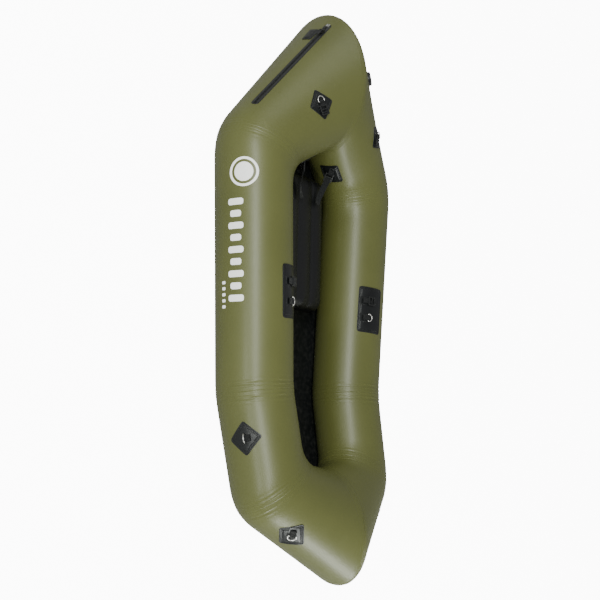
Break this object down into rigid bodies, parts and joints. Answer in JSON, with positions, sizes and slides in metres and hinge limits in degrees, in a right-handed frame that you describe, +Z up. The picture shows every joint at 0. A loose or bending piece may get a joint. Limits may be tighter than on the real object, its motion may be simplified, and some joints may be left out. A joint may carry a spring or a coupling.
{
  "type": "inflatable kayak",
  "caption": "Short single-seat inflatable kayak: a ring of mitred tubes around a fabric floor, with an inflatable seat, a waterproof cargo zip, a valve, and webbing rings and buckles.",
  "frame": {"origin": "on the ground under the middle of the hull box, halfway along and across", "axes": "+X to the bow, +Y to port, +Z up"},
  "size_m": [2.2262, 0.9874, 0.4253],
  "materials": {
    "buckle_plastic": "satin moulded",
    "floor_fabric": "satin coated fabric",
    "hull_fabric": "satin coated fabric",
    "pad_rubber": "satin",
    "ring_steel": "polished",
    "seat_fabric": "satin coated fabric",
    "valve_plastic": "moulded",
    "webbing": "woven",
    "zip_metal": "satin",
    "zip_plastic": "satin moulded",
    "zip_tape_rubber": "satin"
  },
  "bodies": {
    "hull": {"bow_pad_left": "pad_rubber", "bow_pad_right": "pad_rubber", "bow_tube_left": "hull_fabric", "bow_tube_right": "hull_fabric", "bow_webbing_left": "webbing", "bow_webbing_right": "webbing", "floor_sheet": "floor_fabric", "front_pad_left": "pad_rubber", "front_pad_right": "pad_rubber", "front_tube_left": "hull_fabric", "front_tube_right": "hull_fabric", "front_webbing_left": "webbing", "front_webbing_right": "webbing", "inner_pad_left": "pad_rubber", "inner_pad_right": "pad_rubber", "inner_webbing_left": "webbing", "inner_webbing_right": "webbing", "ring_webbing_left": "webbing", "ring_webbing_right": "webbing", "seat_buckle_left": "buckle_plastic", "seat_buckle_right": "buckle_plastic", "seat_cushion": "seat_fabric", "seat_strap_left": "webbing", "seat_strap_right": "webbing", "seat_valve": "valve_plastic", "side_pad_left": "pad_rubber", "side_pad_right": "pad_rubber", "side_tube_left": "hull_fabric", "side_tube_right": "hull_fabric", "side_webbing_left": "webbing", "side_webbing_right": "webbing", "stern_pad_left": "pad_rubber", "stern_pad_right": "pad_rubber", "stern_tube_left": "hull_fabric", "stern_tube_right": "hull_fabric", "stern_webbing_left": "webbing", "stern_webbing_right": "webbing", "valve_body": "valve_plastic", "zip_dock": "zip_tape_rubber", "zip_stop": "zip_metal", "zip_tape": "zip_tape_rubber", "zip_teeth": "zip_plastic"},
    "bow_ring_left": {"bow_ring_left": "ring_steel"},
    "bow_ring_right": {"bow_ring_right": "ring_steel"},
    "front_ring_left": {"front_ring_left": "ring_steel"},
    "front_ring_right": {"front_ring_right": "ring_steel"},
    "side_buckle_left": {"side_buckle_left": "buckle_plastic"},
    "side_buckle_right": {"side_buckle_right": "buckle_plastic"},
    "side_ring_left": {"side_ring_left": "ring_steel"},
    "side_ring_right": {"side_ring_right": "ring_steel"},
    "stern_buckle_left": {"stern_buckle_left": "buckle_plastic"},
    "stern_buckle_right": {"stern_buckle_right": "buckle_plastic"},
    "stern_ring_left": {"stern_ring_left": "ring_steel"},
    "stern_ring_right": {"stern_ring_right": "ring_steel"},
    "zip_slider": {"zip_slider": "zip_plastic"},
    "zip_puller": {"zip_puller": "zip_plastic"},
    "valve_cap": {"valve_cap": "valve_plastic"},
    "valve_plunger": {"valve_plunger": "valve_plastic"},
    "seat_valve_cap": {"seat_valve_cap": "valve_plastic"}
  },
  "joints": [
    {"name": "bow_ring_left_hinge", "type": "hinge", "parent": "hull", "child": "bow_ring_left", "pos_m": [0.91003, 0.26682, 0.30258], "axis": [0.175, -0.7638, 0.6213], "range_deg": [0, 120]},
    {"name": "bow_ring_right_hinge", "type": "hinge", "parent": "hull", "child": "bow_ring_right", "pos_m": [0.91003, -0.26682, 0.30258], "axis": [-0.175, -0.7638, -0.6213], "range_deg": [0, 120]},
    {"name": "front_ring_left_hinge", "type": "hinge", "parent": "hull", "child": "front_ring_left", "pos_m": [0.59349, 0.41692, 0.20794], "axis": [0.9862, -0.0692, 0.1502], "range_deg": [-85, 20]},
    {"name": "front_ring_right_hinge", "type": "hinge", "parent": "hull", "child": "front_ring_right", "pos_m": [0.59349, -0.41692, 0.20794], "axis": [-0.9862, -0.0692, -0.1502], "range_deg": [-85, 20]},
    {"name": "side_buckle_left_hinge", "type": "hinge", "parent": "hull", "child": "side_buckle_left", "pos_m": [0.05082, 0.25155, 0.27454], "axis": [0.9978, -0.0653, -0.0142], "range_deg": [0, 120]},
    {"name": "side_buckle_right_hinge", "type": "hinge", "parent": "hull", "child": "side_buckle_right", "pos_m": [0.05214, -0.27039, 0.28113], "axis": [0.9978, 0.0653, -0.0142], "range_deg": [0, 120]},
    {"name": "side_ring_left_hinge", "type": "hinge", "parent": "hull", "child": "side_ring_left", "pos_m": [0.12066, 0.24698, 0.27355], "axis": [0.9978, -0.0653, -0.0142], "range_deg": [0, 120]},
    {"name": "side_ring_right_hinge", "type": "hinge", "parent": "hull", "child": "side_ring_right", "pos_m": [0.12199, -0.26582, 0.28014], "axis": [0.9978, 0.0653, -0.0142], "range_deg": [0, 120]},
    {"name": "stern_buckle_left_hinge", "type": "hinge", "parent": "hull", "child": "stern_buckle_left", "pos_m": [-0.60819, 0.1967, 0.34353], "axis": [-0.4741, -0.8432, 0.2536], "range_deg": [0, 85]},
    {"name": "stern_buckle_right_hinge", "type": "hinge", "parent": "hull", "child": "stern_buckle_right", "pos_m": [-0.60819, -0.1967, 0.34353], "axis": [0.4741, -0.8432, -0.2536], "range_deg": [0, 85]},
    {"name": "stern_ring_left_hinge", "type": "hinge", "parent": "hull", "child": "stern_ring_left", "pos_m": [-0.62227, 0.20409, 0.34177], "axis": [0.4741, 0.8432, -0.2536], "range_deg": [0, 85]},
    {"name": "stern_ring_right_hinge", "type": "hinge", "parent": "hull", "child": "stern_ring_right", "pos_m": [-0.62227, -0.20409, 0.34177], "axis": [-0.4741, 0.8432, 0.2536], "range_deg": [0, 85]},
    {"name": "zip_slide", "type": "slide", "parent": "hull", "child": "zip_slider", "axis": [0.7694, -0.6293, -0.1091], "range_m": [0, 0.495]},
    {"name": "zip_puller_hinge", "type": "hinge", "parent": "zip_slider", "child": "zip_puller", "pos_m": [-0.9735, -0.10473, 0.26361], "axis": [-0.3203, -0.2324, -0.9184], "range_deg": [0, 150]},
    {"name": "valve_cap_turn", "type": "hinge", "parent": "hull", "child": "valve_cap", "pos_m": [-0.81027, 0.07256, 0.3687], "axis": [-0.1864, 0.4699, 0.8628], "range_deg": [0, 180]},
    {"name": "valve_plunger_slide", "type": "slide", "parent": "hull", "child": "valve_plunger", "axis": [0.1864, -0.4699, -0.8628], "range_m": [0, 0.004], "stiffness_N_per_m": 200},
    {"name": "seat_cap_turn", "type": "hinge", "parent": "hull", "child": "seat_valve_cap", "pos_m": [-0.4521, 0, 0.07996], "axis": [-1, 0, 0], "range_deg": [0, 180]}
  ]
}
